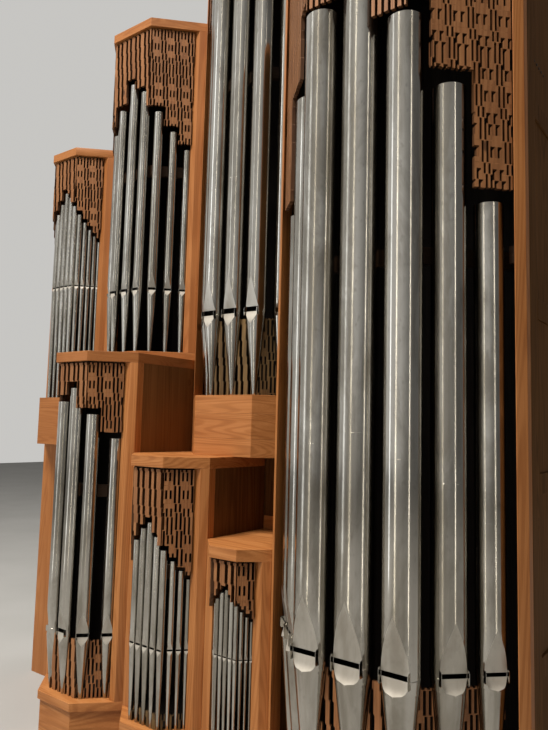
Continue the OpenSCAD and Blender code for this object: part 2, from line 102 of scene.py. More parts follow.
class Tree:
    """A shader or geometry tree under construction."""

    def __init__(self, tree):
        self.tree = tree

    def add(self, kind, settings=None, inputs=None, output=0):
        node = self.tree.nodes.new(kind)
        for key, value in (settings or {}).items():
            if key == "stops":
                set_stops(node.color_ramp, value)
            else:
                setattr(node, key, value)
        for key, value in (inputs or {}).items():
            self.put(value, node.inputs[key])
        return Value(self, node.outputs[output])

    def put(self, value, socket):
        for item in value if isinstance(value, list) else [value]:
            if isinstance(item, Value):
                self.tree.links.new(item.socket, socket)
            else:
                socket.default_value = item


def set_stops(ramp, stops):
    for i, (place, colour) in enumerate(stops):
        stop = ramp.elements[i] if i < 2 else ramp.elements.new(place)
        stop.position = place
        stop.color = (*colour, 1)


class Finish(Tree):
    """A material. Each face's number "board" moves the pattern, so no two boards are alike."""

    def __init__(self, name, **shader):
        self.material = bpy.data.materials.new(name)
        self.material.use_nodes = True
        super().__init__(self.material.node_tree)
        self.shader = self.tree.nodes["Principled BSDF"]
        for socket, value in shader.items():
            self.shader.inputs[socket.replace("_", " ")].default_value = value
        here = self.add("ShaderNodeTexCoord", output="Object")
        self.board = self.attribute("board")
        shift = self.add("ShaderNodeVectorMath", {"operation": "SCALE"},
                         {0: (7.3, 3.1, 5.7), "Scale": self.board})
        self.spot = self.add("ShaderNodeVectorMath", {"operation": "ADD"}, {0: here, 1: shift})

    def attribute(self, name):
        return self.add("ShaderNodeAttribute", {"attribute_name": name}, output="Fac")

    def stretched(self, scale):
        return self.add("ShaderNodeMapping", {}, {"Vector": self.spot, "Scale": scale})

    def noise(self, scale, size, detail=4, rough=0.55, twist=0.0):
        return self.add("ShaderNodeTexNoise", {},
                        {"Vector": self.stretched(scale), "Scale": size, "Detail": detail,
                         "Roughness": rough, "Distortion": twist})

    def ramp(self, factor, stops):
        return self.add("ShaderNodeValToRGB", {"stops": stops}, {"Fac": factor})

    def mix(self, factor, a, b):
        a, b = ((*c, 1) if isinstance(c, tuple) else c for c in (a, b))
        return self.add("ShaderNodeMix", {"data_type": "RGBA"}, {0: factor, 6: a, 7: b}, 2)

    def finish(self, colour, roughness, height=None, depth=0.001, strength=1.0):
        self.put(colour, self.shader.inputs["Base Color"])
        self.put(roughness, self.shader.inputs["Roughness"])
        if height is not None:
            bump = self.add("ShaderNodeBump", {},
                            {"Height": height, "Distance": depth, "Strength": strength})
            self.put(bump, self.shader.inputs["Normal"])
        return self.material


# Finishes

def shade_of(colour, share):
    return tuple(c * share for c in colour)


def wood(name, dark, mid, light, grain="Z", gloss=0.45, sheen=0.25):
    """Oiled softwood: growth lines that bend round small knots, long fibres, dark pores, and
    painted shade on faces marked 'cut'.
    """
    f = Finish(name, Specular_IOR_Level=sheen)

    def along(share):
        return {"X": (share, max(share, 0.25), 1), "Z": (1, 1, share)}[grain]

    knots = f.add("ShaderNodeTexVoronoi", {}, {"Vector": f.stretched(along(0.7)), "Scale": 4.2})
    bend = knots.between(0.02, 0.14, 0.05, 0.0)
    growth = f.noise(along(0.05), 4.5, 2, 0.45, 0.3) + bend
    rings = (growth * 330).maths("SINE").between(-0.4, 1.0)
    streaks = f.noise(along(0.03), 40, 4, 0.6)
    fibres = f.noise(along(0.014), 420, 4, 0.7)
    patches = f.noise((1, 1, 1), 2.1, 2, 0.5)
    level = rings * 0.15 + streaks * 0.50 + fibres * 0.35
    colour = f.ramp(level, [(0.28, light), (0.50, mid), (0.76, dark)])
    # Darker with the board number: each board's own tone, plus painted shade where a whole node is
    # given a darker tone
    colour = f.mix(f.board * 0.5, colour, dark)
    colour = f.mix(patches.between(0.45, 0.7, 0.0, 0.30), colour, light)
    colour = f.mix(knots.between(0.040, 0.075, 0.75, 0.0), colour, shade_of(dark, 0.35))
    colour = f.mix(fibres.between(0.60, 0.78, 0.0, 0.35), colour, shade_of(dark, 0.5))
    # Painted shade: the sawn sides of slits and board ends, marked cut, are darkened as if unlit
    colour = f.mix(f.attribute("cut") * 0.78, colour, shade_of(dark, 0.22))
    rough = fibres.between(0.3, 0.8, gloss - 0.06, gloss + 0.16)
    return f.finish(colour, rough, level, 0.0008, 0.45)


def tin(name, dark, light, rough):
    """Tin alloy: cloudy tarnish, drawn streaks, scraping lines and slight dents; matt lips,
    painted pale as a painted reflection of the light on them.
    """
    f = Finish(name, Metallic=1.0)
    clouds = f.noise((1, 1, 0.30), 7.5, 5, 0.62, 0.8)
    streaks = f.noise((1, 1, 0.012), 20, 2, 0.5)
    specks = f.noise((1, 1, 0.6), 60, 2, 0.5)
    dents = f.noise((1, 1, 0.12), 5, 1, 0.3)
    tarnish = (clouds * 0.6 + streaks * 0.4).between(0.40, 0.64)
    colour = f.mix(tarnish, light, dark)
    colour = f.mix(specks.between(0.58, 0.75, 0.0, 0.20), colour, shade_of(dark, 0.55))
    colour = f.mix(f.board * 0.25, colour, dark)
    lip = f.attribute("lip")
    # Painted reflection: the lips are painted pale for the light their flats catch; their matt
    # finish is real
    colour = f.mix(lip, colour, (0.52, 0.48, 0.42))
    shine = rough + tarnish * 0.07 + lip * 0.85 + specks.between(0.4, 0.8, 0.0, 0.04)
    return f.finish(colour, shine, dents, 0.003, 0.10)


# Dark, middle and light tone of a grain
CASE = ((0.245, 0.080, 0.019), (0.40, 0.148, 0.040), (0.54, 0.228, 0.075))
SHADE = ((0.130, 0.048, 0.016), (0.290, 0.118, 0.042), (0.42, 0.195, 0.080))
case_upright = wood("case wood, upright grain", *CASE, "Z")
case_level = wood("case wood, level grain", *CASE, "X")
shade_carved = wood("carved shade wood", *SHADE, "Z", 0.5)
foot_carved = wood("carved foot board wood", (0.050, 0.026, 0.009), (0.110, 0.062, 0.022),
                   (0.220, 0.135, 0.052), "Z", 0.55)
# Painted shade: darker copies of the case wood for side walls and the recess, which face away from
# the light
dark_wall_painted_shade = wood("dark side wood", (0.060, 0.026, 0.009), (0.125, 0.056, 0.018),
                 (0.19, 0.090, 0.032), "Z", 0.55, 0.03)
side_wall_painted_shade = wood("side wall wood", (0.090, 0.036, 0.011), (0.175, 0.074, 0.022),
                 (0.25, 0.112, 0.036), "Z", 0.5, 0.1)
# Painted shade: the rails behind the pipes are near-black as they stand in the dark inside
rail_wood_painted_shade = wood("dark rail wood", (0.020, 0.009, 0.004), (0.040, 0.018, 0.007),
                 (0.060, 0.028, 0.011), "X", 0.6)
back_plain = wood("back board wood", (0.16, 0.07, 0.03), (0.30, 0.14, 0.06), (0.42, 0.21, 0.10),
                  "Z", 0.6)
# Painted shade: near-black wood for the tower insides and battens, where no light reaches
inner_wood_painted_shade = wood("unlit inner wood", (0.003, 0.0018, 0.0012), (0.007, 0.004, 0.0025),
                   (0.012, 0.007, 0.004), "Z", 0.8)
peg_dark = wood("dark peg wood", (0.010, 0.006, 0.004), (0.020, 0.012, 0.007),
                (0.035, 0.020, 0.010), "Z", 0.5)
pipe_tin = tin("tarnished tin", (0.27, 0.247, 0.208), (0.52, 0.497, 0.452), 0.125)


# Towers, from the frame

# Posts: width from the front, width along a side, room beside the last pipe, and the width
# from the front of a post that is slimmed beside the pipes
POST_S = 68 * MM
POST_FACE = 40 * MM
POST_GAP = 3 * MM
SLIM_POST = 31 * MM
# Past the corner by this share of the widest pipe, a pipe faces the way of the side
CORNER_SHARE = 0.15


class Tower:
    """One bay: its plan and heights come from its roof and its toe board in the frame."""

    def __init__(self, name, base, longest, widest, row_set, left, right, depth):
        self.name = name
        roof_low, roof_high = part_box(name + "_roof")
        self.left = roof_low.x
        self.width = roof_high.x - roof_low.x
        self.middle = self.left + self.width / 2
        self.facet = self.width / (1 + 2 * math.cos(TURN))
        self.front = roof_low.y
        self.side_y = roof_low.y + self.facet * math.sin(TURN)
        self.top = roof_low.z
        self.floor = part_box(base)[1].z
        self.longest = longest * MM
        self.widest = widest * MM
        self.row_set = row_set * MM
        self.notes = {-1: left, 1: right}
        self.depth = depth
        self.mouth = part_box(name + "_pipes")[1].z - self.longest
        self.foot = self.mouth - self.floor
        self.half = self.facet / 2 - self.row_set * MITRE
        self.side = self.facet - self.row_set * MITRE
        self.near = name == "pedal"
        self.cheek = SLIM_POST if name in ("pedal", "upper_right") else POST_S
        self.round_lips = name in ("pedal", "lower_left")
        self.lattice = name in ("upper_right", "lower_left", "lower_middle", "pedal")

    def pipe_len(self, note):
        return self.longest * SEMITONE ** note

    def pipe_dia(self, note):
        return self.widest * SEMITONE ** (note * WIDTH_POWER)

    def row(self, way):
        """Distances along the row, from the middle, of the pipes of one half."""
        dias = [self.pipe_dia(n) for n in self.notes[way]]
        last = dias[-1] / 2
        to_post = max((POST_S + last + POST_GAP) / math.cos(TURN) - self.row_set,
                      POST_FACE + last + POST_GAP)
        end = self.half + self.side - to_post
        gap = (end - self.widest / 2 - sum(dias[:-1]) - last) / len(dias)
        places = []
        edge = self.widest / 2
        for dia in dias:
            places.append(edge + gap + dia / 2)
            edge += gap + dia
        return places

    def place(self, s):
        """Matrix of a pipe on the toe board, at a distance from the middle of the row."""
        beyond = abs(s) - self.half
        way = 1 if s > 0 else -1
        x, y, turn = self.middle + s, self.front + self.row_set, 0.0
        if beyond > self.widest * CORNER_SHARE:
            x = self.middle + way * (self.half + beyond * math.cos(TURN))
            y += beyond * math.sin(TURN)
            turn = way * TURN
        return Matrix.Translation((x, y, self.floor)) @ Matrix.Rotation(turn, 4, "Z")

    def pipes(self):
        """(semitones, distance along the row) from left to right."""
        left = list(zip(self.notes[-1], self.row(-1)))[::-1]
        right = list(zip(self.notes[1], self.row(1)))
        return [(n, -s) for n, s in left] + [(0, 0.0)] + right

    def facets(self, setback):
        """Front and sides at a setback, at z = 0: way, matrix, half the width of the front."""
        corner = self.facet / 2 - setback * MITRE
        middle = Vector((self.middle, self.front + setback, 0))
        planes = [(0, Matrix.Translation(middle), corner)]
        for way in (-1, 1):
            spot = Matrix.Translation(middle + Vector((way * corner, 0, 0)))
            planes.append((way, spot @ Matrix.Rotation(way * TURN, 4, "Z"), corner))
        return planes


# Semitones above the middle pipe, from the middle outwards
EVENS = [2, 4, 6, 8, 10, 12, 14]
ODDS = [1, 3, 5, 7, 9, 11, 13]

# Name, the board below, longest pipe, widest pipe and setback of the row in millimetres,
# semitones to the left and to the right, and depth of the dark inside in metres
TOWERS = [
    Tower("upper_left", "upper_left_chest", 611, 40, 45, EVENS, ODDS, 0.50),
    Tower("upper_middle", "upper_middle_toe_board", 1218, 62, 50, EVENS[:4], ODDS[:4], 0.50),
    Tower("upper_right", "upper_right_chest", 2185, 106, 66, ODDS[:3], EVENS[:3], 0.50),
    Tower("lower_left", "lower_left_toe_board", 1195, 78, 55, [1, 3], [2, 4], 0.20),
    Tower("lower_middle", "lower_middle_toe_board", 543, 39, 45, ODDS[:5], EVENS[:5], 0.20),
    Tower("lower_right", "lower_right_toe_board", 271, 23, 40, ODDS[:5], EVENS[:5], 0.20),
    Tower("pedal", "pedal_toe_board", 2453, 140, 80, [1, 3, 7], [2, 4, 8], 0.50),
]


# Mesh helpers

def new_object(name, mesh, material=None):
    piece = bpy.data.objects.new(name, mesh)
    bpy.context.scene.collection.objects.link(piece)
    if material:
        mesh.materials.clear()
        mesh.materials.append(material)
        mesh.polygons.foreach_set("material_index", [0] * len(mesh.polygons))
    return piece


def mesh_of(bm, name):
    mesh = bpy.data.meshes.new(name)
    bm.to_mesh(mesh)
    bm.free()
    return mesh


def applied(piece):
    """The piece with its modifiers made into a plain mesh."""
    view = bpy.context.evaluated_depsgraph_get()
    mesh = bpy.data.meshes.new_from_object(piece.evaluated_get(view))
    piece.modifiers.clear()
    piece.data = mesh
    return piece


def give_wall(piece, thickness, offset):
    """A skin gets a thickness; offset -1 puts it inside the skin, and 0 on both sides."""
    wall = piece.modifiers.new("wall", "SOLIDIFY")
    wall.thickness = thickness
    wall.offset = offset
    applied(piece)


def ease_edges(piece, width):
    edge = piece.modifiers.new("eased edges", "BEVEL")
    edge.width = width
    edge.segments = 2
    edge.limit_method = "ANGLE"
    edge.angle_limit = math.radians(30)
    applied(piece)


def joined(name, pieces, material):
    bm = bmesh.new()
    for piece in pieces:
        bm.from_mesh(piece.data)
        bpy.data.objects.remove(piece)
    return new_object(name, mesh_of(bm, name), material)


def hand_over(piece, slot, *nodes):
    if nodes:
        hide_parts(*nodes)
    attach(piece, "root")


def add_box(bm, low, high, place=Matrix.Identity(4)):
    corners = [bm.verts.new(place @ Vector((x, y, z)))
               for z in (low[2], high[2]) for y in (low[1], high[1]) for x in (low[0], high[0])]
    for loop in ((0, 2, 3, 1), (4, 5, 7, 6), (0, 1, 5, 4), (2, 6, 7, 3), (0, 4, 6, 2),
                 (1, 3, 7, 5)):
        bm.faces.new([corners[i] for i in loop])


def group_of(name, *sockets):
    """A geometry tree with named inputs: its tree, its start and its sockets' identifiers."""
    group = bpy.data.node_groups.new(name, "GeometryNodeTree")
    sides = group.interface
    sides.new_socket("Geometry", in_out="INPUT", socket_type="NodeSocketGeometry")
    keys = [sides.new_socket(label, in_out="INPUT", socket_type="NodeSocket" + kind).identifier
            for label, kind in sockets]
    sides.new_socket("Geometry", in_out="OUTPUT", socket_type="NodeSocketGeometry")
    tree = Tree(group)
    start = group.nodes.new("NodeGroupInput")
    return tree, {out.name: Value(tree, out) for out in start.outputs}, keys


def run_group(piece, tree, keys, values, geometry):
    end = tree.tree.nodes.new("NodeGroupOutput")
    tree.put(geometry, end.inputs["Geometry"])
    nodes = piece.modifiers.new(tree.tree.name, "NODES")
    nodes.node_group = tree.tree
    for key, value in zip(keys, values):
        nodes[key] = value
    return applied(piece)


def repeat(name, model, spots, material):
    """Geometry Nodes: one copy of the model at each (matrix, size) of the list."""
    mesh = bpy.data.meshes.new(name)
    mesh.from_pydata([tuple(place.translation) for place, _ in spots], [], [])
    turn = mesh.attributes.new("turn", "FLOAT_VECTOR", "POINT")
    turn.data.foreach_set("vector", [a for place, _ in spots for a in place.to_euler()])
    sizes = mesh.attributes.new("size", "FLOAT_VECTOR", "POINT")
    sizes.data.foreach_set("vector", [a for _, size in spots for a in size])
    tree, start, keys = group_of("repeat", ("Model", "Object"), ("Material", "Material"))
    shape = tree.add("GeometryNodeObjectInfo", {}, {"Object": start["Model"]}, "Geometry")
    angle, scale = (tree.add("GeometryNodeInputNamedAttribute", {"data_type": "FLOAT_VECTOR"},
                             {"Name": label}) for label in ("turn", "size"))
    angle = tree.add("FunctionNodeEulerToRotation", {}, {"Euler": angle})
    copies = tree.add("GeometryNodeInstanceOnPoints", {},
                      {"Points": start["Geometry"], "Instance": shape, "Rotation": angle,
                       "Scale": scale})
    copies = tree.add("GeometryNodeRealizeInstances", {}, {"Geometry": copies})
    copies = tree.add("GeometryNodeSetMaterial", {},
                      {"Geometry": copies, "Material": start["Material"]})
    piece = run_group(new_object(name, mesh), tree, keys, (model, material), copies)
    for label in ("turn", "size"):
        piece.data.attributes.remove(piece.data.attributes[label])
    return piece


def thicken(piece, thickness, material):
    """Geometry Nodes: a flat face pattern becomes boards; their sawn sides are marked 'cut', for
    the painted shade in the slits.
    """
    tree, start, keys = group_of("board thickness", ("Thickness", "Float"),
                                 ("Material", "Material"))
    push = tree.add("GeometryNodeExtrudeMesh", {},
                    {"Mesh": start["Geometry"], "Offset Scale": start["Thickness"],
                     "Individual": False})
    side = Value(tree, push.socket.node.outputs["Side"])
    # The sides are marked for the painted shade that the wood finish puts in the slits
    sawn = tree.add("GeometryNodeStoreNamedAttribute", {"data_type": "FLOAT", "domain": "FACE"},
                    {"Geometry": push, "Selection": side, "Name": "cut", "Value": 1.0})
    back = tree.add("GeometryNodeFlipFaces", {}, {"Mesh": start["Geometry"]})
    boards = tree.add("GeometryNodeJoinGeometry", {}, {"Geometry": [back, sawn]})
    boards = tree.add("GeometryNodeMergeByDistance", {}, {"Geometry": boards, "Distance": 1e-6})
    boards = tree.add("GeometryNodeSetMaterial", {},
                      {"Geometry": boards, "Material": start["Material"]})
    return run_group(piece, tree, keys, (thickness, material), boards)


# Flue pipes

WALL = 1.4 * MM
MOUTH_SHARE = 0.76
LIP_COLUMNS = 6
# Narrowest flat, as a share of the mouth, and the height in which a lip runs out
CREASE = 0.02
LIP_END = 4 * MM
# How matt the lips are, and how far they are painted pale as a painted reflection of the light on
# their flats
LOWER_LIP_MATT_AND_PAINTED_LIGHT = 0.7
UPPER_LIP_MATT_AND_PAINTED_LIGHT = 0.3
# Diameters from which a pipe gets more columns, ears at its mouth and a joint in its sheet
ROUNDER_FROM = 60 * MM
EARS_FROM = 44 * MM
JOINT_FROM = 100 * MM


def toe_radius(dia):
    return min(10 * MM, dia * 0.22)


def lip_rows(round_lips, low_round):
    """Shares of height and width of the lower lip, from its tip up, and of the upper lip."""
    lower, upper = [], []
    for i in range(9):
        t = 1 - i / 8
        width = (1 - 0.25 * t) * math.sqrt(1 - t ** 6) if low_round else 1 - t ** 1.4
        lower.append((t, max(width, CREASE)))
    for i in range(11):
        t = i / 10
        width = 1 - t ** 1.8 if round_lips else 1 - t
        upper.append((t, max(width, CREASE)))
    return lower, upper


def pipe_rows(t, length, dia):
    """Rows of a pipe from its toe up: height, radius, width of the flat front, lip finish (matt,
    and painted pale as a painted reflection).
    """
    r = dia / 2
    foot = t.foot
    toe = toe_radius(dia)
    mouth = dia * MOUTH_SHARE
    lower, upper = lip_rows(t.round_lips, t.near)
    down = mouth * (0.50 if t.near else 0.80)
    up = mouth * (1.75 if t.round_lips else 2.1)
    sill = foot + mouth * (0.17 if t.near else 0.32)

    def cone(z):
        return toe + (r - toe) * z / foot

    low = foot - down - LIP_END
    rows = [(0.0, toe, CREASE, 0.0), (low, cone(low), CREASE, 0.0)]
    rows += [(foot - down * a, cone(foot - down * a), w, LOWER_LIP_MATT_AND_PAINTED_LIGHT) for a, w in lower]
    rows += [(sill + up * a, r, w, UPPER_LIP_MATT_AND_PAINTED_LIGHT) for a, w in upper]
    rows += [(sill + up + LIP_END, r, CREASE, 0.0), (foot + length, r, CREASE, 0.0)]
    return rows, mouth / 2, sill


def ring_points(r, half, back_columns):
    """One ring of points, the flat front first, at y = -r."""
    edge = math.asin(min(0.999, half / r))
    depth = -math.sqrt(r * r - half * half)
    points = [(half * (2 * i / LIP_COLUMNS - 1), depth) for i in range(LIP_COLUMNS + 1)]
    for i in range(1, back_columns):
        a = edge + (2 * math.pi - 2 * edge) * i / back_columns
        points.append((r * math.sin(a), -r * math.cos(a)))
    return points


def add_pipe(bm, layers, t, note, place, number):
    """Tube with a conical foot, two flat lips and an open mouth."""
    dia = t.pipe_dia(note)
    rows, half, sill = pipe_rows(t, t.pipe_len(note), dia)
    columns = 34 if dia > ROUNDER_FROM else 22
    rings = []
    for z, radius, share, _ in rows:
        flat = min(half * share, radius * 0.96)
        rings.append([bm.verts.new(place @ Vector((x, y, z)))
                      for x, y in ring_points(radius, flat, columns)])
    count = len(rings[0])
    for k in range(len(rings) - 1):
        in_mouth = rows[k][0] < sill - 1e-6 and rows[k + 1][0] > t.foot + 1e-6
        for i in range(count):
            if in_mouth and i < LIP_COLUMNS:
                continue
            j = (i + 1) % count
            face = bm.faces.new((rings[k][i], rings[k][j], rings[k + 1][j], rings[k + 1][i]))
            face.smooth = True
            face[layers["board"]] = number
            face[layers["lip"]] = max(rows[k][3], rows[k + 1][3]) if i < LIP_COLUMNS else 0.0


def hoop(sweep, thick):
    """Model of a solder line: a thin hoop of radius 1, open at the front for the mouth."""
    bm = bmesh.new()
    steps = 30
    around = 6
    start = (2 * math.pi - sweep) / 2
    rings = []
    for k in range(steps + 1):
        a = start + sweep * k / steps
        out = Vector((math.sin(a), -math.cos(a), 0))
        ring = []
        for i in range(around):
            b = 2 * math.pi * i / around
            ring.append(bm.verts.new(out * (1 + thick * math.cos(b))
                                     + Vector((0, 0, 1.6 * thick * math.sin(b)))))
        rings.append(ring)
    for low, high in zip(rings, rings[1:]):
        for i in range(around):
            j = (i + 1) % around
            bm.faces.new((low[i], high[i], high[j], low[j])).smooth = True
    bm.faces.new(rings[0])
    bm.faces.new(rings[-1][::-1])
    return new_object("hoop", mesh_of(bm, "hoop"))


def plate(outline, thick, flat):
    """Model: a flat outline given a thickness, upright across x or lying."""
    bm = bmesh.new()
    sides = []
    for w in (-thick / 2, thick / 2):
        sides.append([bm.verts.new((w, a, b) if flat == "X" else (a, b, w)) for a, b in outline])
    bm.faces.new(sides[0][::-1])
    bm.faces.new(sides[1])
    for i in range(len(outline)):
        j = (i + 1) % len(outline)
        bm.faces.new((sides[0][i], sides[0][j], sides[1][j], sides[1][i]))
    bmesh.ops.recalc_face_normals(bm, faces=bm.faces)
    return new_object("plate", mesh_of(bm, "plate"))


def mouth_models():
    """Ear, languid, solder line and sheet joint of a pipe of radius 1."""
    ear = plate([(0.4, -0.5), (0.4, 0.5), (-0.75, 0.5), (-1, 0.36), (-1, -0.36), (-0.75, -0.5)],
                1.3 * MM, "X")
    back = -math.sqrt(1 - MOUTH_SHARE ** 2) * 0.98
    edge = [(math.sin(math.radians(a)), -math.cos(math.radians(a))) for a in range(0, 360, 12)]
    languid = plate([(x * 0.97, max(y * 0.97, back)) for x, y in edge], 2.4 * MM, "Z")
    line = hoop(2 * math.pi - 2 * math.asin(MOUTH_SHARE), 0.016)
    joint = hoop(2 * math.pi - 0.02, 0.005)
    return ear, languid, line, joint


def tower_pipes(t):
    """All pipes of a tower, and the small parts at their mouths."""
    rng = random.Random(t.name)
    bm = bmesh.new()
    layers = {name: bm.faces.layers.float.new(name) for name in ("board", "lip")}
    ears, languids, lines, joints = [], [], [], []
    for note, s in t.pipes():
        place = t.place(s)
        dia = t.pipe_dia(note)
        r = dia / 2
        mouth = dia * MOUTH_SHARE
        add_pipe(bm, layers, t, note, place, rng.random())
        at_foot = place @ Matrix.Translation((0, 0, t.foot))
        lines.append((at_foot, (r, r, r)))
        languids.append((at_foot @ Matrix.Translation((0, 0, -1.6 * MM)), (r, r, 1)))
        if dia > EARS_FROM:
            depth = math.sqrt(r * r - mouth * mouth / 4)
            reach = min(17 * MM, dia * 0.14)
            for way in (-1, 1):
                spot = (way * (mouth / 2 + 0.8 * MM), -depth, mouth * 0.03)
                ears.append((at_foot @ Matrix.Translation(spot), (1, reach, mouth * 0.52)))
        if dia > JOINT_FROM:
            rise = t.pipe_len(note) * 0.31
            joints.append((at_foot @ Matrix.Translation((0, 0, rise)), (r, r, r)))
    piece = new_object(t.name + "_flue_pipes", mesh_of(bm, t.name), pipe_tin)
    give_wall(piece, WALL, -1)
    piece.data.set_sharp_from_angle(angle=math.radians(24))
    hand_over(piece, "pipe_tin", t.name + "_pipes")
    trims = [repeat("trim", model, spots, pipe_tin)
             for model, spots in zip(MODELS, (ears, languids, lines, joints)) if spots]
    hand_over(joined(t.name + "_pipe_mouths", trims, pipe_tin), "pipe_tin")


# Carved shades

# The carving repeats downwards after CYCLE units, and slits begin at these units of it
UNIT = 39 * MM
STARTS = (0, 1, 3, 5, 6, 8, 10)
CYCLE = 12
# Notch at the start of a slit of the pedal tower
HOOK = 8 * MM
# Boards: thickness, gap under the roof, setback from the roof's edge, width of a tooth
SHADE_T = 15 * MM
TOP_GAP = 8 * MM
SETBACK = 12 * MM
TOOTH = 19 * MM
# The boards of a side end this much sooner at a post that isn't slimmed
POST_LAP = 27 * MM


def slit_starts(first, depth):
    """Heights, from the top down, at which the slits begin, and their lengths."""
    marks = []
    turn = 0
    while first + turn * CYCLE * UNIT < depth + 3 * UNIT:
        for k, unit in enumerate(STARTS):
            following = (STARTS + (CYCLE,))[k + 1] - unit
            length = 2 * UNIT if k == 4 else UNIT
            chained = following * UNIT < length + 1e-6
            marks.append((first + (turn * CYCLE + unit) * UNIT,
                          length - (1.5 * MM if chained else 0), chained))
        turn += 1
    return marks


def gap_rows(marks, x, wide, drift):
    """A gap that runs from top to bottom and steps aside at every mark."""
    rows = [(-FAR, x - drift, x - drift + wide)]
    for k, (v, _, _) in enumerate(marks):
        for at, shift in ((v - 3 * MM, k - 1), (v + 3 * MM, k)):
            rows.append((at, x + shift * drift, x + shift * drift + wide))
    rows.append((FAR, *rows[-1][1:]))
    return [rows]


def inner_rows(marks, x, wide, drift, hook):
    """Short slits; a hooked one starts with a notch to its right."""
    slits = []
    for k, (v, length, _) in enumerate(marks):
        left = x + k * drift
        rows = [(v, left, left + wide + hook), (v + length, left, left + wide)]
        if hook:
            rows[1:1] = [(v + 4 * MM, left, left + wide + hook), (v + 13 * MM, left, left + wide)]
        slits.append(rows)
    return slits


def outer_rows(marks, x, wide, drift):
    """Long slits, that step aside between the short ones and leave thin bridges."""
    slits = []
    for k, ((v, _, _), (following, _, _)) in enumerate(zip(marks, marks[1:])):
        left = x + k * drift
        slits.append([(v - 0.5 * UNIT, left, left + wide),
                      (following - 0.5 * UNIT - 2.5 * MM, left, left + wide)])
    return slits


class Pattern:
    """Columns of one period of the carving: (offset, width, kind)."""

    def __init__(self, period, drift, columns, hook=0.0):
        self.period = period * MM
        self.drift = drift * MM
        self.columns = [(x * MM, w * MM, kind) for x, w, kind in columns]
        self.hook = hook

    def openings(self, u0, u1, marks, phase):
        """All openings between u0 and u1: (column number, rows of height, left, right)."""
        reach = len(marks) * self.drift
        turn = math.floor((u0 - reach - phase) / self.period) - 1
        found = []
        while phase + turn * self.period < u1 + self.period:
            for c, (offset, wide, kind) in enumerate(self.columns):
                x = phase + turn * self.period + offset
                if kind == "gap":
                    slits = gap_rows(marks, x, wide, self.drift)
                elif kind == "inner":
                    slits = inner_rows(marks, x, wide, self.drift, self.hook)
                else:
                    slits = outer_rows(marks, x, wide, self.drift)
                found += [(turn * 8 + c, rows) for rows in slits]
            turn += 1
        return found


# In millimetres: period, drift at each mark, and the columns of openings
LATHS = Pattern(76, 5, [(0, 17, "gap"), (33, 17, "gap")])
NEAR_LATHS = Pattern(50, 5, [(0, 11, "gap"), (25, 11, "gap")])
SLITS = Pattern(76, 5, [(0, 9, "inner"), (19, 9, "inner"), (38, 10, "outer"), (57, 10, "outer")])
NEAR_SLITS = Pattern(82, 7, [(0, 7.5, "inner"), (26, 7.5, "inner"), (51, 8, "outer"),
                             (68, 8, "outer")], HOOK)
BACKING = Pattern(82, 7, [(-9, 55, "gap")])


def width_at(rows, v):
    """Left and right edge of an opening at a height, or None."""
    for (v0, l0, r0), (v1, l1, r1) in zip(rows, rows[1:]):
        if v0 - 1e-7 <= v <= v1 + 1e-7:
            share = (v - v0) / max(v1 - v0, 1e-9)
            return l0 + (l1 - l0) * share, r0 + (r1 - r0) * share
    return None


def band_spans(spans, bottom):
    """Stretches of the board that reach down to a height, neighbours joined."""
    merged = []
    for u0, u1, depth in spans:
        if depth < bottom - 1e-6 or u1 - u0 < 1e-5:
            continue
        if merged and abs(merged[-1][1] - u0) < 1e-5:
            merged[-1][1] = u1
        else:
            merged.append([u0, u1])
    return merged


def board_cells(spans, top, openings):
    """The wood left between the openings, as cells (level, left and right edges, columns)."""
    openings = [(c, [(round(v, 3), l, r) for v, l, r in rows]) for c, rows in openings]
    spans = [(u0, u1, round(depth, 3)) for u0, u1, depth in spans]
    deepest = max(depth for _, _, depth in spans)
    heights = {v for _, rows in openings for v, _, _ in rows} | {s[2] for s in spans}
    levels = [top] + sorted(v for v in heights if top + 5e-4 < v <= deepest + 5e-4)
    cells = []
    for n, (va, vb) in enumerate(zip(levels, levels[1:])):
        cuts = []
        for column, rows in openings:
            if rows[0][0] <= va + 1e-6 and rows[-1][0] >= vb - 1e-6:
                cuts.append((*width_at(rows, va + 1e-7), *width_at(rows, vb - 1e-7), column))
        cuts.sort(key=lambda cut: cut[0] + cut[2])
        for s0, s1 in band_spans(spans, vb):
            left, side = (s0, s0), None
            for la, ra, lb, rb, column in cuts + [(s1, s1, s1, s1, None)]:
                if max(ra, rb) <= s0 or min(la, lb) > s1:
                    continue
                right = (min(max(la, left[0]), s1), min(max(lb, left[1]), s1))
                if right[0] - left[0] + right[1] - left[1] > 1.6 * MM:
                    cells.append((n, left, right, (side, column)))
                left = (min(max(ra, left[0]), s1), min(max(rb, left[1]), s1))
                side = column
    return levels, cells


def add_board(bm, layer, place, spans, top, openings, rng, tone=(0.1, 0.9)):
    """Flat faces of a pierced board, all meeting edge to edge."""
    levels, cells = board_cells(spans, top, openings)
    stops = {}
    for n, left, right, _ in cells:
        stops.setdefault(n, set()).update((round(left[0], 5), round(right[0], 5)))
        stops.setdefault(n + 1, set()).update((round(left[1], 5), round(right[1], 5)))
    verts = {}
    tones = {}

    def vert(x, n):
        if (x, n) not in verts:
            verts[x, n] = bm.verts.new(place @ Vector((x, 0, -levels[n])))
        return verts[x, n]

    def edge(x0, x1, n):
        x0, x1 = round(x0, 5), round(x1, 5)
        return [vert(x, n) for x in sorted(stops[n]) if x0 <= x <= x1]

    for n, left, right, sides in cells:
        loop = edge(left[1], right[1], n + 1) + edge(left[0], right[0], n)[::-1]
        if len(set(loop)) < 3:
            continue
        if sides not in tones:
            tones[sides] = rng.uniform(*tone)
        bm.faces.new(loop)[layer] = tones[sides]


